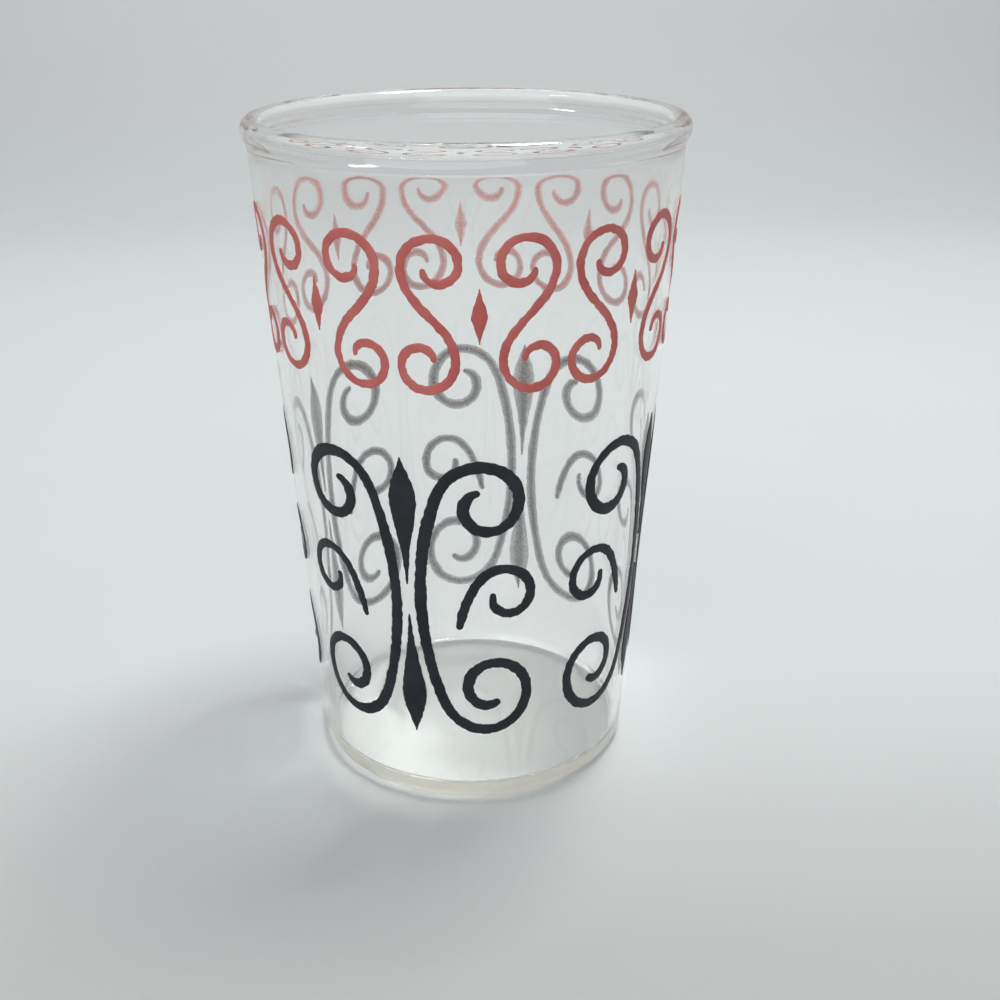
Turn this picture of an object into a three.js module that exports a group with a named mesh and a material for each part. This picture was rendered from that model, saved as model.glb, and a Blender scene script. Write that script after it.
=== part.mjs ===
// Juice glass: a tapered soda-lime tumbler with a rolled rim and fired-on enamel scrollwork.
// Millimetres, +Z up, origin on the table at the middle of the base, front at -Y.
import * as THREE from "three";
import { mergeVertices } from "three/addons/utils/BufferGeometryUtils.js";

// Glass body
const HEIGHT = 96;
const NECK_RADIUS = 29.95;    // outside of the wall just under the rim
const FOOT_RADIUS = 23.6;     // outside of the wall, carried down to the table
const WALL = 1.2;
const FLOOR = 2.4;            // table to the inside of the floor
const RIM_OVERHANG = 0.75;    // rolled rim beyond the neck
const RIM_WIDTH = 3.0;        // rolled rim, inside to outside
const RIM_CROWN = 1.6;        // lip down to the rim's widest point
const RIM_DEPTH = 3.7;        // lip down to the neck
const HEEL = 2;               // rounding of the outer bottom edge
const CORNER = 1.2;           // rounding between the floor and the inside of the wall
const PUNT_RISE = 0.3;        // hollow under the base
const BEARING_WIDTH = 5;      // flat ring that the glass stands on

// Fired enamel
const ENAMEL = 0.2;           // thickness of the print
const ENAMEL_SEAT = 0.15;     // clearance between the glass and the print
const PRINT_HEAD = 10.5;      // lip down to the top of the red band
const PRINT_FOOT = 12;        // table up to the foot of the black band
const BAND_GAP = 9;           // bare glass between the two bands
const PRINT_TURN = -20;       // degrees from the front to the middle of the first pairs
const LINE_END = 0.6;         // width of a line at its tips, as a share of the line
const POINT_WIDTH = 0.2;      // width of a leaf or lozenge at its points

// Red band: pairs of S-scrolls, with a lozenge between neighbouring pairs
const RED_REPEATS = 8;
const RED_BAND = 21;          // height of the band
const RED_LINE = 1.2;
const RED_STEM = 4.8;         // middle of the scroll to the start of its volute
const RED_STEM_TURN = 24;     // degrees that the stem bends on the way
const RED_TILT = 50;          // degrees that the stem leans at the scroll's middle
const RED_MOUTH = 4.5;        // radius of curvature where the volute starts
const RED_EYE = 1.4;          // radius of curvature where the volute ends
const RED_TURNS = 1.1;
const RED_PAIR_GAP = 0.9;     // between the two scrolls of a pair
const LOZENGE_GAP = 0.7;      // between a lozenge and the scrolls beside it
const LOZENGE_WIDTH = 2.2;
const LOZENGE_HEIGHT = 7;

// Black band: pairs of C-scrolls back to back, tendrils in their mouths, leaves between them
const BLACK_REPEATS = 4;
const BLACK_LINE = 1.6;
const BLACK_STEM = 16;        // middle of the scroll to the start of either volute
const BLACK_STEM_TURN = 20;
const BLACK_HEAD_MOUTH = 6.3;
const BLACK_HEAD_TURNS = 1.2;
const BLACK_FOOT_MOUTH = 7.3;
const BLACK_FOOT_TURNS = 1.35;
const BLACK_EYE = 1.9;
const BLACK_PAIR_GAP = 2;     // between the two spines where they are closest
const BLACK_UNIT_GAP = 5;     // between neighbouring pairs
const TENDRIL_LINE = 1.4;
const TENDRIL_STEM = 6;
const TENDRIL_STEM_TURN = 20;
const TENDRIL_TILT = -10;
const TENDRIL_MOUTH = 3.8;
const TENDRIL_EYE = 1.5;
const TENDRIL_TURNS = 1;
const TENDRIL_GAP = 1;        // between a tendril and the scroll round it
const LEAF_WIDTH = 5.2;
const LEAF_GAP = 0.9;         // between a leaf and the scrolls beside it

// Fineness of the faceted surfaces
const TURN_STEPS = 64;        // facets around the glass
const ARC_STEPS = 4;          // facets along each rounding of the profile
const FACET_ANGLE = 32;       // most that a printed line turns at one corner
const FACET_LENGTH = 2.6;     // longest straight stretch of a printed line
const LEAF_STEPS = 8;
const LOZENGE_STEPS = 4;

// Sizes that follow from those above
const radians = THREE.MathUtils.degToRad;
const neckHeight = HEIGHT - RIM_DEPTH;
const taper = Math.atan2(NECK_RADIUS - FOOT_RADIUS, neckHeight);
const redTop = HEIGHT - PRINT_HEAD;
const redFoot = redTop - RED_BAND;
const blackTop = redFoot - BAND_GAP;

const glass = new THREE.MeshStandardMaterial({
  color: 0xdfe8e5, roughness: 0.05, metalness: 0, transparent: true, opacity: 0.35,
});
const redEnamel = new THREE.MeshStandardMaterial({ color: 0xb85854, roughness: 0.45, metalness: 0 });
const blackEnamel = new THREE.MeshStandardMaterial({ color: 0x282a32, roughness: 0.4, metalness: 0 });

function wallRadius(z) {
  return FOOT_RADIUS + z * Math.tan(taper);
}

function insideRadius(z) {
  return wallRadius(z) - WALL / Math.cos(taper);
}

// The body is one revolve: hollow base, heel, tapered wall, rolled rim, inside wall, corner, floor.
function glassBody() {
  const rimMiddle = HEIGHT - RIM_CROWN;
  const rimOutside = NECK_RADIUS + RIM_OVERHANG;
  const rimInside = rimOutside - RIM_WIDTH;
  const rimCentre = (rimOutside + rimInside) / 2;
  const swell = (rimMiddle - neckHeight) / 2;
  const bearingOutside = FOOT_RADIUS - HEEL;
  const bearingInside = bearingOutside - BEARING_WIDTH;
  const cornerTop = FLOOR + CORNER;

  const profile = new THREE.Path();
  profile.moveTo(0, PUNT_RISE);
  profile.bezierCurveTo(bearingInside / 2, PUNT_RISE, bearingInside / 2, 0, bearingInside, 0);
  profile.lineTo(bearingOutside, 0);
  profile.quadraticCurveTo(FOOT_RADIUS, 0, wallRadius(HEEL), HEEL);
  profile.lineTo(NECK_RADIUS, neckHeight);
  profile.bezierCurveTo(
    wallRadius(neckHeight + swell), neckHeight + swell,
    rimOutside, rimMiddle - swell,
    rimOutside, rimMiddle,
  );
  profile.absellipse(rimCentre, rimMiddle, RIM_WIDTH / 2, RIM_CROWN, 0, Math.PI, false, 0);
  profile.bezierCurveTo(
    rimInside, rimMiddle - swell,
    insideRadius(neckHeight + swell), neckHeight + swell,
    insideRadius(neckHeight), neckHeight,
  );
  profile.lineTo(insideRadius(cornerTop), cornerTop);
  profile.quadraticCurveTo(insideRadius(FLOOR), FLOOR, insideRadius(FLOOR) - CORNER, FLOOR);
  profile.lineTo(0, FLOOR);

  const geometry = new THREE.LatheGeometry(profile.getPoints(ARC_STEPS), TURN_STEPS);
  geometry.rotateX(Math.PI / 2);
  const mesh = new THREE.Mesh(geometry, glass);
  mesh.name = "glass_body";
  return mesh;
}

// Half of a scroll, from its middle at the origin: a bent stem going up, then a volute to the right
// whose radius of curvature falls evenly from mouth to eye, so that its turns lie evenly apart.
function halfScroll({ stem, stemTurn, mouth, eye, turns }) {
  const bend = radians(stemTurn);
  const stemSteps = Math.ceil(stem / FACET_LENGTH);
  const stemLine = [new THREE.Vector2(0, 0)];
  for (let i = 1; i <= stemSteps; i += 1) {
    const heading = (bend * i) / stemSteps;
    const onCircle = new THREE.Vector2(1 - Math.cos(heading), Math.sin(heading));
    stemLine.push(onCircle.multiplyScalar(stem / bend));
  }
  const whole = turns * 2 * Math.PI;
  const rate = (mouth - eye) / whole;
  const arm = (turned) => {
    const heading = bend + turned;
    const radius = mouth - rate * turned;
    return new THREE.Vector2(
      -radius * Math.cos(heading) - rate * Math.sin(heading),
      radius * Math.sin(heading) - rate * Math.cos(heading),
    );
  };
  const offset = stemLine.at(-1).clone().sub(arm(0));
  const stops = [0];
  while (stops.at(-1) < whole) {
    const radius = mouth - rate * stops.at(-1);
    stops.push(stops.at(-1) + Math.min(radians(FACET_ANGLE), FACET_LENGTH / radius));
  }
  const even = whole / stops.at(-1);
  const volute = stops.slice(1).map((turned) => arm(turned * even).add(offset));
  return { points: [...stemLine, ...volute], stemEnd: stemLine.at(-1), volute };
}

function turnedBy(points, degrees) {
  const middle = new THREE.Vector2(0, 0);
  return points.map((p) => p.clone().rotateAround(middle, radians(degrees)));
}

function moved(points, x, y) {
  return points.map((p) => new THREE.Vector2(p.x + x, p.y + y));
}

function scaled(points, across, up) {
  return points.map((p) => new THREE.Vector2(p.x * across, p.y * up));
}

// Two halves meet at the middle: the lower one is turned half round for an S, mirrored for a C.
function sScroll(half) {
  const lower = scaled(half.points.slice(1), -1, -1);
  return [...lower.reverse(), ...half.points];
}

function cScroll(head, foot) {
  const lower = scaled(foot.points.slice(1), 1, -1);
  return [...lower.reverse(), ...head.points];
}

// A drawn line of even width with narrowed tips.
function drawnLine(points, width) {
  const last = points.length - 1;
  const widths = points.map((p, i) => (i === 0 || i === last ? width * LINE_END : width));
  return { points, widths };
}

// An upright lozenge or leaf, with its width at each height and each share of the way up.
function upright(foot, head, steps, widthAt) {
  const points = [];
  const widths = [];
  for (let i = 0; i <= steps; i += 1) {
    const share = i / steps;
    const y = THREE.MathUtils.lerp(foot, head, share);
    points.push(new THREE.Vector2(0, y));
    widths.push(Math.max(widthAt(y, share), POINT_WIDTH));
  }
  return { points, widths };
}

function mirrored({ points, widths }) {
  return { points: scaled(points, -1, 1), widths };
}

// How far a rising line lies to the right at a given height.
function asideAt(points, y) {
  const next = points.findIndex((p) => p.y >= y);
  if (next <= 0) {
    return points.at(next).x;
  }
  const below = points[next - 1];
  const above = points[next];
  return THREE.MathUtils.lerp(below.x, above.x, (y - below.y) / (above.y - below.y));
}

// Sideways direction at a point of a line, lengthened at corners so that the width stays even.
function sideways(points, i) {
  const before = points[Math.max(i - 1, 0)];
  const after = points[Math.min(i + 1, points.length - 1)];
  const arriving = points[i].clone().sub(before).normalize();
  const leaving = after.clone().sub(points[i]).normalize();
  const along = arriving.clone().add(leaving).normalize();
  const reference = i === 0 ? leaving : arriving;
  return new THREE.Vector2(-along.y, along.x).divideScalar(along.dot(reference));
}

function onWall(angle, z, lift) {
  const radius = wallRadius(z) + lift * Math.cos(taper);
  return [radius * Math.cos(angle), radius * Math.sin(angle), z - lift * Math.sin(taper)];
}

// The drawing of a band is stretched to the band's height and to its share of the way round.
function bandPlace(repeats, foot, head, drawnWidth, drawnHeight) {
  const middle = (foot + head) / 2;
  const radius = wallRadius(middle);
  const across = (2 * Math.PI * radius) / repeats / drawnWidth;
  const up = (head - foot) / drawnHeight;
  return { repeats, middle, radius, across, up };
}

// One printed island: a flat strip bent along the drawn line and laid round the wall.
function island(name, { points, widths }, band, place, material) {
  const line = scaled(points, band.across, band.up);
  const steps = line.length - 1;
  const strip = new THREE.BoxGeometry(1, 1, 1, steps, 1, 1);
  strip.deleteAttribute("normal");
  strip.deleteAttribute("uv");
  const geometry = mergeVertices(strip);
  const position = geometry.attributes.position;
  const front = -Math.PI / 2;
  const centre = front + radians(PRINT_TURN) + (place * 2 * Math.PI) / band.repeats;
  for (let i = 0; i < position.count; i += 1) {
    const step = Math.round((position.getX(i) + 0.5) * steps);
    const side = position.getY(i) * widths[step];
    const layer = position.getZ(i) + 0.5;
    const edge = line[step].clone().addScaledVector(sideways(line, step), side);
    const angle = centre + edge.x / band.radius;
    position.setXYZ(i, ...onWall(angle, band.middle + edge.y, ENAMEL_SEAT + layer * ENAMEL));
  }
  geometry.computeVertexNormals();
  const mesh = new THREE.Mesh(geometry, material);
  mesh.name = name;
  return mesh;
}

function redBand() {
  const half = halfScroll({
    stem: RED_STEM, stemTurn: RED_STEM_TURN, mouth: RED_MOUTH, eye: RED_EYE, turns: RED_TURNS,
  });
  const scroll = turnedBy(sScroll(half), RED_TILT);
  const size = new THREE.Box2().setFromPoints(scroll).getSize(new THREE.Vector2()).addScalar(RED_LINE);
  const right = drawnLine(moved(scroll, (RED_PAIR_GAP + size.x) / 2, 0), RED_LINE);
  const left = mirrored(right);
  const lozenge = upright(
    -LOZENGE_HEIGHT / 2, LOZENGE_HEIGHT / 2, LOZENGE_STEPS,
    (y) => LOZENGE_WIDTH * (1 - Math.abs(2 * y) / LOZENGE_HEIGHT),
  );
  const drawnWidth = RED_PAIR_GAP + 2 * size.x + 2 * LOZENGE_GAP + LOZENGE_WIDTH;
  const band = bandPlace(RED_REPEATS, redFoot, redTop, drawnWidth, size.y);

  const group = new THREE.Group();
  for (let i = 0; i < RED_REPEATS; i += 1) {
    const between = i + 0.5;
    group.add(island(`red_scroll_left_${i + 1}`, left, band, i, redEnamel));
    group.add(island(`red_scroll_right_${i + 1}`, right, band, i, redEnamel));
    group.add(island(`red_lozenge_${i + 1}`, lozenge, band, between, redEnamel));
  }
  return group;
}

// A tendril fills the mouth of its C-scroll: between the two volutes, from the spine to the edge.
function tendrilLine(scroll, head, foot) {
  const curl = halfScroll({
    stem: TENDRIL_STEM, stemTurn: TENDRIL_STEM_TURN,
    mouth: TENDRIL_MOUTH, eye: TENDRIL_EYE, turns: TENDRIL_TURNS,
  });
  const points = turnedBy(curl.points, TENDRIL_TILT);
  const own = new THREE.Box2().setFromPoints(points);
  const clear = BLACK_LINE / 2 + TENDRIL_GAP + TENDRIL_LINE / 2;
  const room = new THREE.Box2(
    new THREE.Vector2(
      Math.max(head.stemEnd.x, foot.stemEnd.x) + clear,
      -Math.min(...foot.volute.map((p) => p.y)) + clear,
    ),
    new THREE.Vector2(
      Math.max(...scroll.map((p) => p.x)) + (BLACK_LINE - TENDRIL_LINE) / 2,
      Math.min(...head.volute.map((p) => p.y)) - clear,
    ),
  );
  const roomSize = room.getSize(new THREE.Vector2());
  const share = roomSize.divide(own.getSize(new THREE.Vector2()));
  const fill = Math.min(share.x, share.y);
  const ownMiddle = own.getCenter(new THREE.Vector2());
  const roomMiddle = room.getCenter(new THREE.Vector2());
  const x = room.min.x - own.min.x * fill;
  const y = roomMiddle.y - ownMiddle.y * fill;
  return moved(scaled(points, fill, fill), x, y);
}

// A little under the lesser of two widths, without a corner where they cross.
function softLesser(a, b) {
  return (a * b) / Math.cbrt(a ** 3 + b ** 3);
}

// A leaf stands in the wedge that opens between the two spines and never closes its gap to them.
function leafShape(half, aside, head) {
  const crest = half.points.findIndex((p, i, all) => i + 1 === all.length || all[i + 1].y < p.y);
  const rising = half.points.slice(0, crest + 1);
  const clearWidth = (y) => 2 * (asideAt(rising, y) + aside - BLACK_LINE / 2 - LEAF_GAP);
  const foot = rising.find((p) => clearWidth(p.y) > POINT_WIDTH).y;
  return upright(foot, head, LEAF_STEPS, (y, share) => {
    return softLesser(LEAF_WIDTH * Math.sin(Math.PI * share), clearWidth(y));
  });
}

function blackBand() {
  const shared = { stem: BLACK_STEM, stemTurn: BLACK_STEM_TURN, eye: BLACK_EYE };
  const head = halfScroll({ ...shared, mouth: BLACK_HEAD_MOUTH, turns: BLACK_HEAD_TURNS });
  const foot = halfScroll({ ...shared, mouth: BLACK_FOOT_MOUTH, turns: BLACK_FOOT_TURNS });
  const scroll = cScroll(head, foot);
  const drawn = new THREE.Box2().setFromPoints(scroll).expandByScalar(BLACK_LINE / 2);
  const size = drawn.getSize(new THREE.Vector2());
  const aside = (BLACK_PAIR_GAP + BLACK_LINE) / 2;
  const lift = -(drawn.min.y + drawn.max.y) / 2;
  const placed = (points) => moved(points, aside, lift);

  const scrollRight = drawnLine(placed(scroll), BLACK_LINE);
  const tendrilRight = drawnLine(placed(tendrilLine(scroll, head, foot)), TENDRIL_LINE);
  const headLeaf = leafShape(head, aside, drawn.max.y);
  const footLeaf = leafShape(foot, aside, -drawn.min.y);
  headLeaf.points = moved(headLeaf.points, 0, lift);
  footLeaf.points = moved(scaled(footLeaf.points, 1, -1), 0, lift);
  const shapes = {
    black_scroll_left: mirrored(scrollRight),
    black_scroll_right: scrollRight,
    black_tendril_left: mirrored(tendrilRight),
    black_tendril_right: tendrilRight,
    black_leaf_head: headLeaf,
    black_leaf_foot: footLeaf,
  };
  const drawnWidth = BLACK_PAIR_GAP + 2 * size.x + BLACK_UNIT_GAP;
  const band = bandPlace(BLACK_REPEATS, PRINT_FOOT, blackTop, drawnWidth, size.y);

  const group = new THREE.Group();
  for (let i = 0; i < BLACK_REPEATS; i += 1) {
    for (const [name, shape] of Object.entries(shapes)) {
      group.add(island(`${name}_${i + 1}`, shape, band, i, blackEnamel));
    }
  }
  return group;
}

const juiceGlass = new THREE.Group();
juiceGlass.add(glassBody(), redBand(), blackBand());

export default juiceGlass;
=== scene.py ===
"""Juice glass: a clear tumbler with a rolled rim and two bands of fired enamel scrollwork."""
import math

import bpy
import numpy as np
from mathutils import Matrix, Vector


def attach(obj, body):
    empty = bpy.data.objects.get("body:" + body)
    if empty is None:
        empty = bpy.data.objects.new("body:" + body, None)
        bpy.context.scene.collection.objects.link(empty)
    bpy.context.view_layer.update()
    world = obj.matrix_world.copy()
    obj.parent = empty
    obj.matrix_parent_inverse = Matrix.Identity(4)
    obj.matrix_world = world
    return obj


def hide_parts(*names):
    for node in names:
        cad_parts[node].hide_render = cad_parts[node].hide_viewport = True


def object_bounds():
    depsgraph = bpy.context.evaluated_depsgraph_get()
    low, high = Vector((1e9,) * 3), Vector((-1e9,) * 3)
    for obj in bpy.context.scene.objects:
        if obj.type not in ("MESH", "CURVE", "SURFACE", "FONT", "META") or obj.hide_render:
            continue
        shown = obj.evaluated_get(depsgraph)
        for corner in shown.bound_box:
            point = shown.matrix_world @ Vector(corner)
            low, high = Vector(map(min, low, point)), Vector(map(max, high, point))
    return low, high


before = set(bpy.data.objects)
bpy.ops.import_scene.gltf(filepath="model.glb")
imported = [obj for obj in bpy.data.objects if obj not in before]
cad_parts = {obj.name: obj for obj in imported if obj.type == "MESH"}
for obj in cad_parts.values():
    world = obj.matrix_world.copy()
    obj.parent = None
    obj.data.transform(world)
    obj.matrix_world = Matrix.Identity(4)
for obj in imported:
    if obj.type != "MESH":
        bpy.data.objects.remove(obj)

CAD_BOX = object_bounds()
MM = 0.001
FULL_TURN = 2 * math.pi

# Glass body, sized as its solid is
HEIGHT = CAD_BOX[1].z
RIM_OUTSIDE = CAD_BOX[1].x
RIM_OVERHANG = 0.75 * MM
RIM_WIDTH = 2.8 * MM          # a little less than the solid's, on the inside of the rim
RIM_CROWN = 1.6 * MM
RIM_DEPTH = 3.7 * MM
NECK_EASE = 0.3 * MM          # how far below the neck the wall starts to swell
FOOT_RADIUS = 23.6 * MM
WALL = 1.2 * MM
FLOOR = 2.4 * MM
HEEL = 2.0 * MM
CORNER = 1.2 * MM
PUNT_RISE = 0.3 * MM
BEARING_WIDTH = 5.0 * MM
NECK_RADIUS = RIM_OUTSIDE - RIM_OVERHANG
NECK_HEIGHT = HEIGHT - RIM_DEPTH
TAPER = math.atan2(NECK_RADIUS - FOOT_RADIUS, NECK_HEIGHT)

# Unevenness of hand-finished glass, only ever taken off the thickness
WAVE_DEPTH = 0.02 * MM
WAVES = (                     # of the inside wall: share, waves in a turn, climb in a metre, start
    (1.0, 3, 40, 0.0),
    (0.6, 7, -70, 1.0),
    (0.4, 11, 120, 0.0),
)
RIPPLE_DEPTH = 0.008 * MM
RIPPLES = 46                  # round the rim
RIPPLE_SWAY = 3               # how far the ripples crowd together and spread out
RIPPLE_SWAYS = 5
RIPPLE_LEAN = 2               # how far they wander up the bead
RIPPLE_CLIMB = 900
OUTSIDE_START = 0.0
INSIDE_START = 2.0

# Print bands, placed as their solids are
FRONT = -math.pi / 2
PRINT_TURN = math.radians(-20)
RED_TOP = HEIGHT - 10.5 * MM
RED_FOOT = RED_TOP - 21.0 * MM
BLACK_TOP = RED_FOOT - 9.0 * MM
BLACK_FOOT = 12.0 * MM
LINE_END = 0.6                # share of a line's width at its ends
POINT_WIDTH = 0.2 * MM

RED_REPEATS = 8
RED_LINE = 1.2 * MM
RED_TILT = math.radians(50)
RED_HALF = {
    "stem": 4.8 * MM,
    "bend": math.radians(24),
    "mouth": 4.5 * MM,
    "eye": 1.4 * MM,
    "turns": 1.1,
}
RED_PAIR_GAP = 0.9 * MM
LOZENGE_GAP = 0.7 * MM
LOZENGE_WIDTH = 2.2 * MM
LOZENGE_HEIGHT = 7.0 * MM

BLACK_REPEATS = 4
BLACK_LINE = 1.6 * MM
BLACK_STEM = {"stem": 16.0 * MM, "bend": math.radians(20), "eye": 1.9 * MM}
BLACK_HEAD = {**BLACK_STEM, "mouth": 6.3 * MM, "turns": 1.2}
BLACK_FOOT_HALF = {**BLACK_STEM, "mouth": 7.3 * MM, "turns": 1.35}
BLACK_PAIR_GAP = 2.0 * MM
BLACK_UNIT_GAP = 5.0 * MM
TENDRIL_LINE = 1.4 * MM
TENDRIL_TILT = math.radians(-10)
TENDRIL_HALF = {
    "stem": 6.0 * MM,
    "bend": math.radians(20),
    "mouth": 3.8 * MM,
    "eye": 1.5 * MM,
    "turns": 1.0,
}
TENDRIL_GAP = 1.0 * MM
LEAF_WIDTH = 5.2 * MM
LEAF_GAP = 0.9 * MM

MIRROR = np.array([-1.0, 1.0])
FLIP = np.array([1.0, -1.0])

# Fired enamel layer
ENAMEL_BITE = 0.01 * MM       # how far it has fused into the glass
ENAMEL_BUILD = 0.12 * MM      # how far it stands proud
EDGE_RAGGED = 0.1 * MM
EDGE_STEP = 0.4 * MM
RAGGED_SHARE = 0.25           # of half a leaf's width: the most that its edge is ragged by
WIDTH_SWING = 0.1
WIDTH_STEP = 4.0 * MM
TIP_TAPER = 2.5 * MM
TIP_BLUNT = 0.004             # squared share of the width that is left at a line's very end
RED_SEED = 8
BLACK_SEED = 4
FROM_MIDDLE = "from_middle"   # attribute: 0 along the middle of a printed line, 1 at its edges

# Fineness of the meshes
TURN_STEPS = 384
ARC_STEPS = 14
WALL_STEPS = 72
PRINT_STEP = 0.3 * MM
TIP_STEPS = 6
FACET_ANGLE = math.radians(32)
FACET_LENGTH = 2.6 * MM
CORNER_CUTS = 2
CORNER_SHARE = 0.25
UPRIGHT_STEPS = 48
ACROSS = np.array([-1.0, -0.85, -0.45, 0.0, 0.45, 0.85, 1.0])   # places across a printed line
CROWN = np.array([0.3, 0.85, 1.0, 1.0, 1.0, 0.85, 0.3])         # how high it stands there

# Colours of the print: the coat, its thin spots, and the two seen through the glass, with painted
# backlight
RED = (0.52, 0.118, 0.11)
RED_THIN = (0.6, 0.18, 0.155)
# Painted backlight: the coat lightened as if lit through from behind, and paler where light is painted
# shining through
RED_PAINTED_BACKLIT = (0.73, 0.37, 0.37)
RED_PAINTED_SHINE_THROUGH = (0.98, 0.9, 0.9)
BLACK = (0.014, 0.016, 0.021)
BLACK_THIN = (0.024, 0.027, 0.034)
# Painted backlight, as for the red
BLACK_PAINTED_BACKLIT = (0.21, 0.225, 0.25)
BLACK_PAINTED_SHINE_THROUGH = (0.92, 0.93, 0.94)
WHITE = (1, 1, 1)

# Clear glass
GLASS_IOR = 1.52
GLASS_TINT = (0.992, 0.996, 0.992)
TINT_SCALE = 60
SMUDGE_SCALE = 45
SMUDGE_DETAIL = 5.0
SMUDGE_NOISE = (0.5, 0.75)
SMUDGE_ROUGHNESS = 0.03
WEAR_FOOT = 0.31 * MM         # the underside is scuffed from standing on tables
WEAR_TOP = 0.6 * MM
WEAR_ROUGHNESS = 0.35
DEPTH_TINT = (0.72, 0.67, 0.5)
DEPTH_DENSITY = 16.0

# Outer face of the enamel
MOTTLE_SCALE = 220
MOTTLE_DETAIL = 4.0
MOTTLE_NOISE = (0.35, 0.65)
MOTTLE_SHARE = 0.9
FACE_GRAIN_SCALE = 4000
SPOT_GRAIN = (0.66, 0.74)
SPOT_SHARE = 0.6
SATIN_GRAIN = (0.3, 0.7)
SATIN_ROUGHNESS = (0.4, 0.6)
SATIN_SPECULAR = 0.25
BUMP_STRENGTH = 0.25
BUMP_DEPTH = 0.02 * MM

# Enamel seen through the glass, with painted backlight shining through its grains and thin edges
THIN_EDGE_BACKLIGHT_FROM_MIDDLE = (0.2, 1.0)
THIN_EDGE_PAINTED_BACKLIGHT = 0.35
BACK_GRAIN_BACKLIGHT_SCALE = 5000
BACK_GRAIN_BACKLIGHT_DETAIL = 3.0
BACK_GRAIN_AND_BACKLIGHT = (0.4, 0.85)
BACK_ROUGHNESS = 0.8

# Paper that the glass stands on, with its tones and where each begins and ends: painted shade and light
# Painted shade: the near tone darkens the paper towards the front
NEAR_PAINTED_SHADE_TONE = (0.47, 0.49, 0.485)
FAR_TONE = (0.6, 0.63, 0.63)
# Painted light: the pale tone brightens the rise of the backdrop and the front end
PAINTED_LIGHT_TONE = (0.86, 0.87, 0.87)
PAINTED_SHADE_NEAR_TO_FAR = (-0.055, 0.015)
PAINTED_LIGHT_LOW_TO_HIGH = (0.0, 0.1)
FRONT_END_PAINTED_LIGHT = (-0.45, -1.0)   # painted light: paper paler at this end, which the front lamp hangs over and lights little
FIBRE_SCALE = 25
FIBRE_DETAIL = 4.0
FIBRE_TONE = (0.97, 0.97, 0.97)
PAPER_ROUGHNESS = 0.7
PAPER_SPECULAR = 0.2

# Stage
STAGE_DROP = 0.05 * MM        # a hair of air under the glass
STAGE_WIDTH = 4.0
STAGE_NEAR = -1.8
STAGE_FLAT = 0.4              # where the floor starts to bend
STAGE_BEND = 0.6
STAGE_RISE = math.radians(50)

# Lamps; each faces the glass unless it has a target
MIDDLE = (0, 0, HEIGHT / 2)
HALF_TURN = math.pi
LAMPS = {
    "key": {"size": (0.14, 0.14), "place": (0.14, 0.095, 0.62), "power": 2.2},
    "strip": {
        "size": (0.9, 0.3),
        "place": (0, 0.3, 0.6),
        "power": 0.7,
        "target": (0, 0.3, 0),
        "spread": math.radians(100),
    },
    "front": {"size": (2.4, 1.6), "place": (-0.3, -1.3, 0.85), "power": 15.5},
    "window": {"size": (0.24, 0.12), "place": (-0.66, -0.25, 0.8), "power": 0.6},
}

# Surroundings: the light they give, and how bright they look when seen, mirrored or refracted
SURROUND_TONE = (0.95, 0.98, 1.0)
AMBIENT = 0.21
BACKDROP = 0.56
MET_PAPER = -1.5              # dims the refracted surroundings for light that has met paper or print
GLASS_BOUNCES = 40

# Camera, fitted to the rim, the sides and the base of the photographed glass
CAMERA_PLACE = Vector((0.0, -188.8, 118.9)) * MM
CAMERA_PITCH = math.radians(23.12)
CAMERA_YAW = math.radians(1.32)
CAMERA_ROLL = math.radians(0.21)
CAMERA_LENS = 48.2
CAMERA_SENSOR = 36.0
CAMERA_CLIP = 10 * MM


def wall_radius(z):
    return FOOT_RADIUS + z * math.tan(TAPER)


def inside_radius(z):
    return wall_radius(z) - WALL / math.cos(TAPER)


def new_piece(name, vertices, faces, materials, face_materials=None):
    mesh = bpy.data.meshes.new(name)
    mesh.from_pydata(vertices, [], faces)
    for material in materials:
        mesh.materials.append(material)
    if face_materials is not None:
        mesh.polygons.foreach_set("material_index", face_materials)
    mesh.polygons.foreach_set("use_smooth", [True] * len(mesh.polygons))
    mesh.update()
    piece = bpy.data.objects.new(name, mesh)
    bpy.context.scene.collection.objects.link(piece)
    return piece


# Glass body
def curve(controls, steps):
    """Points along a Bezier curve, without its first point."""
    shares = np.linspace(0, 1, steps + 1)[1:, None]
    level = [np.broadcast_to(np.array(c, float), (steps, 2)) for c in controls]
    while len(level) > 1:
        level = [a + (b - a) * shares for a, b in zip(level, level[1:])]
    return level[0]


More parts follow.
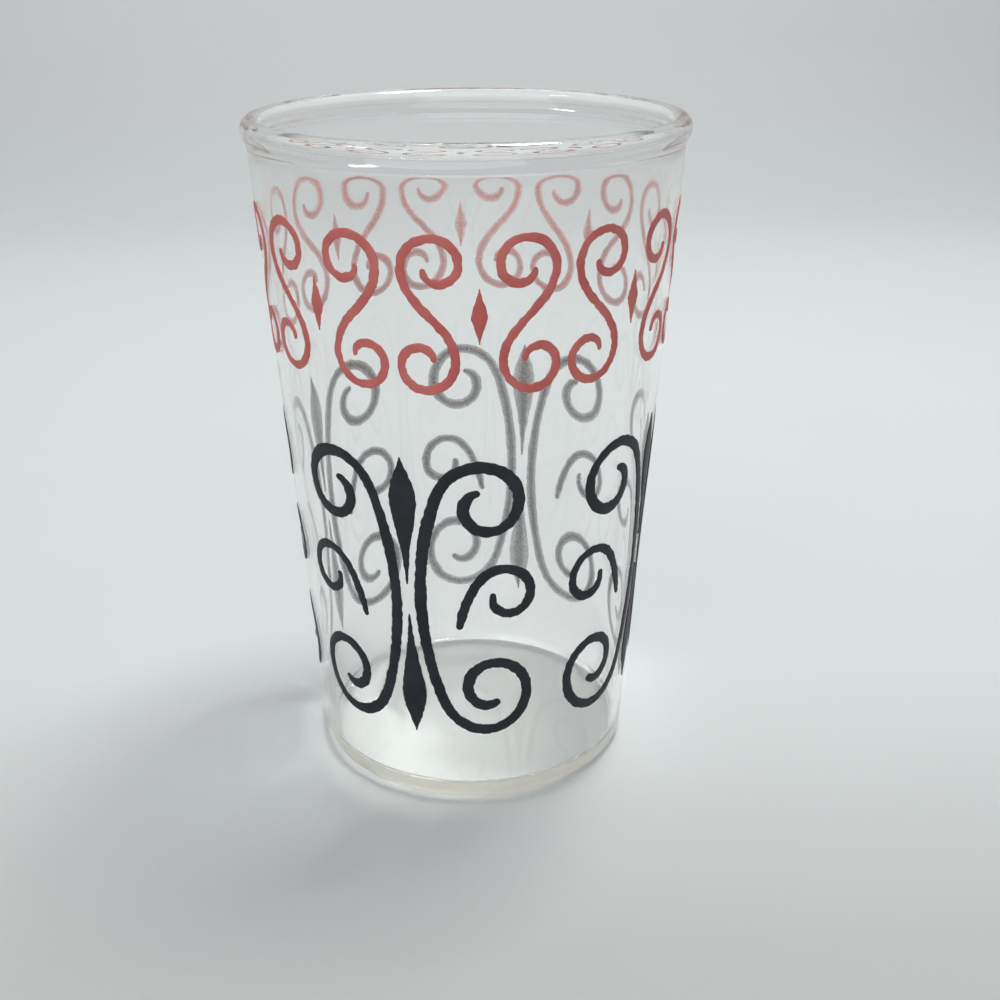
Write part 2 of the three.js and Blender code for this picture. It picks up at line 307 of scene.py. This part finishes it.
def glass_outline():
    """Radius and height along the body, from under the base, up the outside and down the inside."""
    rim_middle = HEIGHT - RIM_CROWN
    rim_inside = RIM_OUTSIDE - RIM_WIDTH
    rim_centre = (RIM_OUTSIDE + rim_inside) / 2
    ease_height = NECK_HEIGHT - NECK_EASE
    swell = (rim_middle - ease_height) / 3
    above_ease = ease_height + swell
    bearing_outside = FOOT_RADIUS - HEEL
    bearing_inside = bearing_outside - BEARING_WIDTH
    punt_bend = bearing_inside / 2
    corner_top = FLOOR + CORNER

    under = (0.0, PUNT_RISE)
    bearing_start = (bearing_inside, 0.0)
    bearing_end = (bearing_outside, 0.0)
    heel_top = (wall_radius(HEEL), HEEL)
    ease = (wall_radius(ease_height), ease_height)
    rim_out = (RIM_OUTSIDE, rim_middle)
    rim_in = (rim_inside, rim_middle)
    ease_in = (inside_radius(ease_height), ease_height)
    corner_start = (inside_radius(corner_top), corner_top)
    corner_end = (inside_radius(FLOOR) - CORNER, FLOOR)
    middle = (0.0, FLOOR)
    bow = np.linspace(0, math.pi, 2 * ARC_STEPS + 1)[1:]
    lip = np.stack([
        rim_centre + RIM_WIDTH / 2 * np.cos(bow),
        rim_middle + RIM_CROWN * np.sin(bow),
    ], axis=1)
    swell_out = [
        ease,
        (wall_radius(above_ease), above_ease),
        (RIM_OUTSIDE, rim_middle - swell),
        rim_out,
    ]
    swell_in = [
        rim_in,
        (rim_inside, rim_middle - swell),
        (inside_radius(above_ease), above_ease),
        ease_in,
    ]
    outside = [
        np.array([under]),
        curve([under, (punt_bend, PUNT_RISE), (punt_bend, 0.0), bearing_start], ARC_STEPS),
        curve([bearing_start, bearing_end], ARC_STEPS),
        curve([bearing_end, (FOOT_RADIUS, 0.0), heel_top], ARC_STEPS),
        curve([heel_top, ease], WALL_STEPS),
        curve(swell_out, ARC_STEPS),
        lip[:ARC_STEPS],
    ]
    inside = [
        lip[ARC_STEPS:],
        curve(swell_in, ARC_STEPS),
        curve([ease_in, corner_start], WALL_STEPS),
        curve([corner_start, (inside_radius(FLOOR), FLOOR), corner_end], ARC_STEPS),
        curve([corner_end, middle], ARC_STEPS),
    ]
    return np.vstack(outside), np.vstack(inside)


def unevenness(turns, z):
    """How much thinner the wall is at each angle and height of its inside, from 0 up."""
    whole = sum(share for share, count, climb, start in WAVES)
    waves = sum(share * np.sin(count * turns + climb * z + start) for share, count, climb, start in WAVES)
    return WAVE_DEPTH * (whole + waves) / (2 * whole)


def rim_ripple(turns, z, start):
    """Short ripples left by fire-polishing round the rim, from 0 up."""
    sway = RIPPLE_SWAY * np.sin(RIPPLE_SWAYS * turns + start)
    lean = RIPPLE_LEAN * np.sin(RIPPLE_CLIMB * z + start)
    ripple = np.sin(RIPPLES * turns + sway + lean)
    up_the_bead = np.clip((z - NECK_HEIGHT) / (RIM_DEPTH - RIM_CROWN), 0, 1)
    return RIPPLE_DEPTH * up_the_bead * (1 + ripple) / 2


def ring(turns, radius, z):
    return np.stack([radius * np.cos(turns), radius * np.sin(turns), np.full(TURN_STEPS, z)], axis=1)


def glass_body(material):
    outside, inside = glass_outline()
    turns = np.linspace(0, FULL_TURN, TURN_STEPS, endpoint=False)
    rings = []
    for radius, z in outside[1:]:
        rings.append(ring(turns, radius - rim_ripple(turns, z, OUTSIDE_START), z))
    for radius, z in inside[:-1]:
        fade = min(1.0, (z - FLOOR) / CORNER) * min(1.0, (HEIGHT - z) / RIM_CROWN)
        thinner = fade * (unevenness(turns, z) + rim_ripple(turns, z, INSIDE_START))
        rings.append(ring(turns, radius + thinner, z))
    poles = [[(0.0, 0.0, outside[0][1])], [(0.0, 0.0, inside[-1][1])]]
    vertices = np.vstack(rings + poles)
    under = len(rings) * TURN_STEPS
    middle = under + 1
    last = under - TURN_STEPS
    faces = []
    for i in range(TURN_STEPS):
        j = (i + 1) % TURN_STEPS
        faces.append((under, j, i))
        faces.append((middle, last + i, last + j))
        for low in range(0, last, TURN_STEPS):
            high = low + TURN_STEPS
            faces.append((low + i, low + j, high + j, high + i))
    piece = new_piece("tumbler", vertices.tolist(), faces, [material])
    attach(piece, "root")
    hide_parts("glass_body")


# Drawing of the print, flat
def half_scroll(stem, bend, mouth, eye, turns):
    """Half of a scroll from its middle: a bent stem going up, then a volute to the right."""
    headings = np.linspace(0, bend, math.ceil(stem / FACET_LENGTH) + 1)
    stem_line = np.stack([1 - np.cos(headings), np.sin(headings)], axis=1) * stem / bend
    whole = turns * FULL_TURN
    rate = (mouth - eye) / whole
    stops = [0.0]
    while stops[-1] < whole:
        radius = mouth - rate * stops[-1]
        stops.append(stops[-1] + min(FACET_ANGLE, FACET_LENGTH / radius))
    turned = np.array(stops) * whole / stops[-1]
    heading = bend + turned
    radius = mouth - rate * turned
    arm = np.stack([
        -radius * np.cos(heading) - rate * np.sin(heading),
        radius * np.sin(heading) - rate * np.cos(heading),
    ], axis=1)
    return stem_line, arm[1:] - arm[0] + stem_line[-1]


def turned_by(points, angle):
    cos, sin = math.cos(angle), math.sin(angle)
    return points @ np.array([[cos, sin], [-sin, cos]])


def span(points):
    return points.min(axis=0), points.max(axis=0)


def smoothed(points):
    """The line with its corners cut, so that a hand-drawn bend is left."""
    for _ in range(CORNER_CUTS):
        start, end = points[:-1], points[1:]
        leaving = (1 - CORNER_SHARE) * start + CORNER_SHARE * end
        nearing = CORNER_SHARE * start + (1 - CORNER_SHARE) * end
        cut = np.stack([leaving, nearing], axis=1).reshape(-1, 2)
        points = np.vstack([points[:1], cut[1:-1], points[-1:]])
    return points


def uneven(at, step, rng):
    """A random line along a length, up to 1 either way, straight between its knots."""
    knots = np.arange(0, at[-1] + 2 * step, step)
    return np.interp(at, knots, rng.uniform(-1, 1, len(knots)))


def drawn_line(points, width, rng):
    """Stations along a drawn line, with the width to either side of each."""
    line = smoothed(points)
    along = np.concatenate([[0], np.cumsum(np.linalg.norm(np.diff(line, axis=0), axis=1))])
    length = along[-1]
    tip = width * LINE_END / 2
    into_tip = tip * (1 - np.cos(np.linspace(0, math.pi / 2, TIP_STEPS)))
    body = np.linspace(tip, length - tip, int(length / PRINT_STEP))[1:-1]
    at = np.concatenate([into_tip, body, (length - into_tip)[::-1]])
    stations = np.stack([np.interp(at, along, line[:, 0]), np.interp(at, along, line[:, 1])], axis=1)
    to_end = np.minimum(at, length - at)
    narrowed = np.interp(to_end, [0, TIP_TAPER], [LINE_END, 1])
    rounded = np.sqrt(np.clip(1 - (1 - np.minimum(to_end / tip, 1)) ** 2, TIP_BLUNT, 1))
    half = width / 2 * narrowed * (1 + WIDTH_SWING * uneven(at, WIDTH_STEP, rng))
    sides = [rounded * (half + EDGE_RAGGED * uneven(at, EDGE_STEP, rng)) for _ in range(2)]
    return stations, sides


def upright(foot, head, width_at, rng):
    """Stations up a leaf or lozenge, with the width to either side of each."""
    shares = np.linspace(0, 1, UPRIGHT_STEPS + 1)
    y = foot + (head - foot) * shares
    half = np.maximum(width_at(y, shares), POINT_WIDTH) / 2
    ragged = np.minimum(EDGE_RAGGED, half * RAGGED_SHARE)
    at = np.abs(y - foot)
    sides = [half + ragged * uneven(at, EDGE_STEP, rng) for _ in range(2)]
    return np.stack([np.zeros_like(y), y], axis=1), sides


# Laying the print round the wall
def sideways(line):
    along = np.gradient(line, axis=0)
    along /= np.linalg.norm(along, axis=1, keepdims=True)
    return np.stack([-along[:, 1], along[:, 0]], axis=1)


def on_wall(angle, z, lift):
    radius = wall_radius(z) + lift * math.cos(TAPER)
    height = z - lift * math.sin(TAPER)
    return np.stack([radius * np.cos(angle), radius * np.sin(angle), height], axis=-1)


def strip_faces(stations, across):
    """Faces of a closed strip, each station of which holds the outer row, then the glass-facing row."""
    around = 2 * across
    faces = []
    inner = []
    for i in range(stations - 1):
        a, b = i * around, (i + 1) * around
        for k in range(around):
            n = (k + 1) % around
            faces.append((a + k, a + n, b + n, b + k))
            inner.append(1 if across <= k < around - 1 else 0)
    for start, flip in ((0, True), ((stations - 1) * around, False)):
        for k in range(across - 1):
            far = around - 1 - k
            quad = (start + k, start + k + 1, start + far - 1, start + far)
            faces.append(quad[::-1] if flip else quad)
            inner.append(0)
    return faces, inner


def island(node, drawn, band, place, materials):
    """One printed island: the drawn strip laid round the wall, crowned outside and fused to the glass."""
    line, sides = drawn
    side = sideways(line)
    left, right = sides
    reach = np.where(ACROSS[None, :] < 0, left[:, None], right[:, None]) * ACROSS[None, :]
    flat = line[:, None, :] + side[:, None, :] * reach[:, :, None]
    angle = FRONT + PRINT_TURN + place * FULL_TURN / band["repeats"] + flat[:, :, 0] / band["radius"]
    z = band["middle"] + flat[:, :, 1]
    outer = on_wall(angle, z, ENAMEL_BUILD * CROWN[None, :])
    inner = on_wall(angle, z, np.full_like(z, -ENAMEL_BITE))
    vertices = np.concatenate([outer, inner[:, ::-1]], axis=1).reshape(-1, 3)
    faces, inner_faces = strip_faces(len(line), len(ACROSS))
    piece = new_piece("printed_" + node, vertices.tolist(), faces, materials, inner_faces)
    from_middle = np.abs(np.concatenate([ACROSS, ACROSS[::-1]]))
    attribute = piece.data.attributes.new(FROM_MIDDLE, "FLOAT", "POINT")
    attribute.data.foreach_set("value", np.tile(from_middle, len(line)))
    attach(piece, "root")
    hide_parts(node)


def band_place(repeats, foot, head, drawn_width, drawn_height):
    """Where a band lies, and the stretch that makes its drawing fill the band."""
    middle = (foot + head) / 2
    radius = wall_radius(middle)
    stretch = np.array([FULL_TURN * radius / repeats / drawn_width, (head - foot) / drawn_height])
    return {"repeats": repeats, "middle": middle, "radius": radius, "stretch": stretch}


def red_band(materials):
    stem, volute = half_scroll(**RED_HALF)
    half = np.vstack([stem, volute])
    scroll = turned_by(np.vstack([-half[:0:-1], half]), RED_TILT)
    low, high = span(scroll)
    width, height = high - low + RED_LINE
    right = scroll + [(RED_PAIR_GAP + width) / 2, 0]
    drawn_width = RED_PAIR_GAP + 2 * width + 2 * LOZENGE_GAP + LOZENGE_WIDTH
    band = band_place(RED_REPEATS, RED_FOOT, RED_TOP, drawn_width, height)
    stretch = band["stretch"]
    tip = LOZENGE_HEIGHT / 2 * stretch[1]

    def lozenge_width(y, share):
        return LOZENGE_WIDTH * (1 - np.abs(y) / tip)

    rng = np.random.default_rng(RED_SEED)
    for i in range(RED_REPEATS):
        number = i + 1
        scroll_right = drawn_line(right * stretch, RED_LINE, rng)
        scroll_left = drawn_line(right * MIRROR * stretch, RED_LINE, rng)
        lozenge = upright(-tip, tip, lozenge_width, rng)
        island(f"red_scroll_right_{number}", scroll_right, band, i, materials)
        island(f"red_scroll_left_{number}", scroll_left, band, i, materials)
        island(f"red_lozenge_{number}", lozenge, band, i + 0.5, materials)


def tendril_line(scroll, head, foot):
    """A tendril that fills the mouth of its C-scroll, between the two volutes."""
    curl = turned_by(np.vstack(half_scroll(**TENDRIL_HALF)), TENDRIL_TILT)
    low, high = span(curl)
    clear = BLACK_LINE / 2 + TENDRIL_GAP + TENDRIL_LINE / 2
    left = max(head[0][-1, 0], foot[0][-1, 0]) + clear
    right = scroll[:, 0].max() + (BLACK_LINE - TENDRIL_LINE) / 2
    bottom = -foot[1][:, 1].min() + clear
    top = head[1][:, 1].min() - clear
    fill = min((right - left) / (high[0] - low[0]), (top - bottom) / (high[1] - low[1]))
    x = left - low[0] * fill
    y = (top + bottom) / 2 - (low[1] + high[1]) / 2 * fill
    return curl * fill + [x, y]


def soft_lesser(a, b):
    """A little under the lesser of two widths, without a corner where they cross."""
    return a * b / np.cbrt(a ** 3 + b ** 3)


def leaf(half, aside, head, stretch, lift, rng):
    """A leaf in the wedge between two spines, drawn upwards, that keeps its gap to them."""
    path = np.vstack(half)
    rising = path[:np.argmax(path[:, 1]) + 1]

    def clear_width(y):
        return 2 * (np.interp(y, rising[:, 1], rising[:, 0]) + aside - BLACK_LINE / 2 - LEAF_GAP)

    def width_at(y, share):
        return soft_lesser(LEAF_WIDTH * np.sin(math.pi * share), clear_width(y))

    foot = rising[np.argmax(clear_width(rising[:, 1]) > POINT_WIDTH), 1]
    stations, sides = upright(foot, head, width_at, rng)
    return (stations + [0, lift]) * stretch, sides


def black_band(materials):
    head = half_scroll(**BLACK_HEAD)
    foot = half_scroll(**BLACK_FOOT_HALF)
    upper = np.vstack(head)
    lower = np.vstack(foot) * FLIP
    scroll = np.vstack([lower[:0:-1], upper])
    low, high = span(scroll)
    low, high = low - BLACK_LINE / 2, high + BLACK_LINE / 2
    width, height = high - low
    aside = (BLACK_PAIR_GAP + BLACK_LINE) / 2
    lift = -(low[1] + high[1]) / 2
    right = scroll + [aside, lift]
    tendril = tendril_line(scroll, head, foot) + [aside, lift]
    drawn_width = BLACK_PAIR_GAP + 2 * width + BLACK_UNIT_GAP
    band = band_place(BLACK_REPEATS, BLACK_FOOT, BLACK_TOP, drawn_width, height)
    stretch = band["stretch"]
    rng = np.random.default_rng(BLACK_SEED)
    for i in range(BLACK_REPEATS):
        islands = {
            "black_scroll_right": drawn_line(right * stretch, BLACK_LINE, rng),
            "black_scroll_left": drawn_line(right * MIRROR * stretch, BLACK_LINE, rng),
            "black_tendril_right": drawn_line(tendril * stretch, TENDRIL_LINE, rng),
            "black_tendril_left": drawn_line(tendril * MIRROR * stretch, TENDRIL_LINE, rng),
            "black_leaf_head": leaf(head, aside, high[1], stretch, lift, rng),
            "black_leaf_foot": leaf(foot, aside, -low[1], stretch * FLIP, -lift, rng),
        }
        for name, drawn in islands.items():
            island(f"{name}_{i + 1}", drawn, band, i, materials)


# Shader nodes
SHARE = (0.0, 1.0)
PLAIN_DETAIL = 2.0
MIX_FIRST = 6                 # the colour sockets of a Mix node
MIX_SECOND = 7
MIX_RESULT = 2


def new_material(name):
    material = bpy.data.materials.new(name)
    material.use_nodes = True
    tree = material.node_tree
    return material, tree, tree.nodes["Principled BSDF"].inputs


def noise(tree, scale, detail=PLAIN_DETAIL):
    """Noise over the object's own coordinates; the scale counts features in a metre."""
    place = tree.nodes.new("ShaderNodeTexCoord")
    texture = tree.nodes.new("ShaderNodeTexNoise")
    texture.inputs["Scale"].default_value = scale
    texture.inputs["Detail"].default_value = detail
    tree.links.new(place.outputs["Object"], texture.inputs["Vector"])
    return texture.outputs["Fac"]


def place_along(tree, axis):
    """The place along one of the object's own axes, in metres."""
    place = tree.nodes.new("ShaderNodeTexCoord")
    split = tree.nodes.new("ShaderNodeSeparateXYZ")
    tree.links.new(place.outputs["Object"], split.inputs["Vector"])
    return split.outputs[axis]


def added(tree, first, second):
    node = tree.nodes.new("ShaderNodeMath")
    tree.links.new(first, node.inputs[0])
    tree.links.new(second, node.inputs[1])
    return node.outputs["Value"]


def ranged(tree, value, between, becomes):
    """The value carried from one range into another, and kept inside it."""
    node = tree.nodes.new("ShaderNodeMapRange")
    node.inputs["From Min"].default_value, node.inputs["From Max"].default_value = between
    node.inputs["To Min"].default_value, node.inputs["To Max"].default_value = becomes
    tree.links.new(value, node.inputs["Value"])
    return node.outputs["Result"]


def multiplied(tree, first, second):
    node = tree.nodes.new("ShaderNodeMix")
    node.data_type = "RGBA"
    node.blend_type = "MULTIPLY"
    node.inputs["Factor"].default_value = 1.0
    tree.links.new(first, node.inputs[MIX_FIRST])
    tree.links.new(second, node.inputs[MIX_SECOND])
    return node.outputs[MIX_RESULT]


def mixed(tree, share, first, second):
    """A colour between two, each a colour or another node's output."""
    node = tree.nodes.new("ShaderNodeMix")
    node.data_type = "RGBA"
    tree.links.new(share, node.inputs["Factor"])
    for socket, colour in ((node.inputs[MIX_FIRST], first), (node.inputs[MIX_SECOND], second)):
        if isinstance(colour, bpy.types.NodeSocket):
            tree.links.new(colour, socket)
        else:
            socket.default_value = (*colour, 1)
    return node.outputs[MIX_RESULT]


# Materials
def clear_glass():
    material, tree, shader = new_material("clear_glass")
    shader["IOR"].default_value = GLASS_IOR
    shader["Transmission Weight"].default_value = 1.0
    tree.links.new(mixed(tree, noise(tree, TINT_SCALE), WHITE, GLASS_TINT), shader["Base Color"])
    smears = noise(tree, SMUDGE_SCALE, SMUDGE_DETAIL)
    smudge = ranged(tree, smears, SMUDGE_NOISE, (0.0, SMUDGE_ROUGHNESS))
    scuffed = ranged(tree, place_along(tree, "Z"), (WEAR_FOOT, WEAR_TOP), (WEAR_ROUGHNESS, 0.0))
    tree.links.new(added(tree, smudge, scuffed), shader["Roughness"])
    absorb = tree.nodes.new("ShaderNodeVolumeAbsorption")
    absorb.inputs["Color"].default_value = (*DEPTH_TINT, 1)
    absorb.inputs["Density"].default_value = DEPTH_DENSITY
    tree.links.new(absorb.outputs["Volume"], tree.nodes["Material Output"].inputs["Volume"])
    return material


def enamel_face(name, colour, thin):
    """The outer face of the print: an even satin coat with mottling and a few thin spots."""
    material, tree, shader = new_material(name)
    mottle = ranged(tree, noise(tree, MOTTLE_SCALE, MOTTLE_DETAIL), MOTTLE_NOISE, (0.0, MOTTLE_SHARE))
    grain = noise(tree, FACE_GRAIN_SCALE)
    spots = ranged(tree, grain, SPOT_GRAIN, (0.0, SPOT_SHARE))
    coat = mixed(tree, mottle, colour, thin)
    tree.links.new(mixed(tree, spots, coat, thin), shader["Base Color"])
    tree.links.new(ranged(tree, grain, SATIN_GRAIN, SATIN_ROUGHNESS), shader["Roughness"])
    shader["Specular IOR Level"].default_value = SATIN_SPECULAR
    bump = tree.nodes.new("ShaderNodeBump")
    bump.inputs["Strength"].default_value = BUMP_STRENGTH
    bump.inputs["Distance"].default_value = BUMP_DEPTH
    tree.links.new(grain, bump.inputs["Height"])
    tree.links.new(bump.outputs["Normal"], shader["Normal"])
    return material


def enamel_back_painted_backlight(name, colour, pale):
    """The print as seen through the glass: pigment in grains against it, with painted backlight that
    lightens its colour and shows pale between the grains and at the thin edges.
    """
    material, tree, shader = new_material(name)
    middle = tree.nodes.new("ShaderNodeAttribute")
    middle.attribute_name = FROM_MIDDLE
    # painted backlight: paler towards the thin edges of a line
    thinner = ranged(tree, middle.outputs["Fac"], THIN_EDGE_BACKLIGHT_FROM_MIDDLE, (0.0, THIN_EDGE_PAINTED_BACKLIGHT))
    grain = added(tree, noise(tree, BACK_GRAIN_BACKLIGHT_SCALE, BACK_GRAIN_BACKLIGHT_DETAIL), thinner)
    grain = ranged(tree, grain, BACK_GRAIN_AND_BACKLIGHT, SHARE)
    # painted backlight: the lightened coat, pale where light is painted shining through
    tree.links.new(mixed(tree, grain, colour, pale), shader["Base Color"])
    shader["Roughness"].default_value = BACK_ROUGHNESS
    shader["Specular IOR Level"].default_value = 0.0
    return material


def paper():
    material, tree, shader = new_material("paper")
    # painted shade: the paper darker towards the front
    far = ranged(tree, place_along(tree, "Y"), PAINTED_SHADE_NEAR_TO_FAR, SHARE)
    tone = mixed(tree, far, NEAR_PAINTED_SHADE_TONE, FAR_TONE)
    # painted light: paler going up the bend into the backdrop
    high = ranged(tree, place_along(tree, "Z"), PAINTED_LIGHT_LOW_TO_HIGH, SHARE)
    tone = mixed(tree, high, tone, PAINTED_LIGHT_TONE)
    # painted light: paler at the front end, which the front lamp lights little
    front_end_painted_light = ranged(tree, place_along(tree, "Y"), FRONT_END_PAINTED_LIGHT, SHARE)
    tone = mixed(tree, front_end_painted_light, tone, PAINTED_LIGHT_TONE)
    fibre = mixed(tree, noise(tree, FIBRE_SCALE, FIBRE_DETAIL), FIBRE_TONE, WHITE)
    tree.links.new(multiplied(tree, tone, fibre), shader["Base Color"])
    shader["Roughness"].default_value = PAPER_ROUGHNESS
    shader["Specular IOR Level"].default_value = PAPER_SPECULAR
    return material


# Stage, light and camera
def sweep():
    """A floor that bends up into a low backdrop."""
    bend = np.linspace(0, STAGE_RISE, 2 * ARC_STEPS + 1)
    section = [(STAGE_NEAR, 0.0)]
    section += [(STAGE_FLAT + STAGE_BEND * math.sin(a), STAGE_BEND * (1 - math.cos(a))) for a in bend]
    vertices = []
    for y, z in section:
        for x in (-STAGE_WIDTH / 2, STAGE_WIDTH / 2):
            vertices.append((x, y, z - STAGE_DROP))
    faces = [(2 * k, 2 * k + 1, 2 * k + 3, 2 * k + 2) for k in range(len(section) - 1)]
    new_piece("sweep", vertices, faces, [paper()])


def soft_box(name, size, place, power, target=MIDDLE, spread=HALF_TURN):
    data = bpy.data.lights.new(name, "AREA")
    data.shape = "RECTANGLE"
    data.size, data.size_y = size
    data.energy = power
    data.spread = spread
    light = bpy.data.objects.new(name, data)
    light.location = place
    light.rotation_euler = (Vector(target) - Vector(place)).to_track_quat("-Z", "Y").to_euler()
    bpy.context.scene.collection.objects.link(light)


def surroundings():
    """An even pale room, dimmer as a source of light than it looks."""
    world = bpy.data.worlds.new("studio")
    world.use_nodes = True
    tree = world.node_tree
    background = tree.nodes["Background"].inputs
    background["Color"].default_value = (*SURROUND_TONE, 1)
    ray = tree.nodes.new("ShaderNodeLightPath").outputs
    seen = added(tree, ray["Is Camera Ray"], ray["Is Glossy Ray"])
    seen = added(tree, seen, ray["Is Transmission Ray"])
    met_paper = ranged(tree, ray["Diffuse Depth"], SHARE, (0.0, MET_PAPER))
    seen = added(tree, seen, met_paper)
    tree.links.new(ranged(tree, seen, SHARE, (AMBIENT, BACKDROP)), background["Strength"])
    bpy.context.scene.world = world


def light_paths():
    """Enough bounces for light that runs along inside the thick base, and none of it blurred."""
    cycles = bpy.context.scene.cycles
    cycles.max_bounces = GLASS_BOUNCES
    cycles.glossy_bounces = GLASS_BOUNCES
    cycles.transmission_bounces = GLASS_BOUNCES
    cycles.blur_glossy = 0.0
    cycles.sample_clamp_indirect = 0.0


def camera():
    data = bpy.data.cameras.new("camera")
    data.sensor_width = CAMERA_SENSOR
    data.lens = CAMERA_LENS
    data.clip_start = CAMERA_CLIP
    piece = bpy.data.objects.new("camera", data)
    level = Vector((math.cos(CAMERA_YAW), -math.sin(CAMERA_YAW), 0))
    flat_ahead = Vector((math.sin(CAMERA_YAW), math.cos(CAMERA_YAW), 0))
    ahead = flat_ahead * math.cos(CAMERA_PITCH) - Vector((0, 0, math.sin(CAMERA_PITCH)))
    down = ahead.cross(level)
    right = level * math.cos(CAMERA_ROLL) + down * math.sin(CAMERA_ROLL)
    up = level * math.sin(CAMERA_ROLL) - down * math.cos(CAMERA_ROLL)
    turn = Matrix((right, up, -ahead)).transposed().to_4x4()
    piece.matrix_world = Matrix.Translation(CAMERA_PLACE) @ turn
    bpy.context.scene.collection.objects.link(piece)
    bpy.context.scene.camera = piece


glass_body(clear_glass())
red_face = enamel_face("red_face", RED, RED_THIN)
# the red print seen through the glass, with painted backlight
red_back_painted_backlight = enamel_back_painted_backlight("red_back_painted_backlight", RED_PAINTED_BACKLIT, RED_PAINTED_SHINE_THROUGH)
red_band([red_face, red_back_painted_backlight])
black_face = enamel_face("black_face", BLACK, BLACK_THIN)
# the black print seen through the glass, with painted backlight
black_back_painted_backlight = enamel_back_painted_backlight("black_back_painted_backlight", BLACK_PAINTED_BACKLIT, BLACK_PAINTED_SHINE_THROUGH)
black_band([black_face, black_back_painted_backlight])
sweep()
for lamp_name, lamp in LAMPS.items():
    soft_box(lamp_name, **lamp)
surroundings()
light_paths()
camera()
bpy.context.scene.view_settings.view_transform = "Standard"
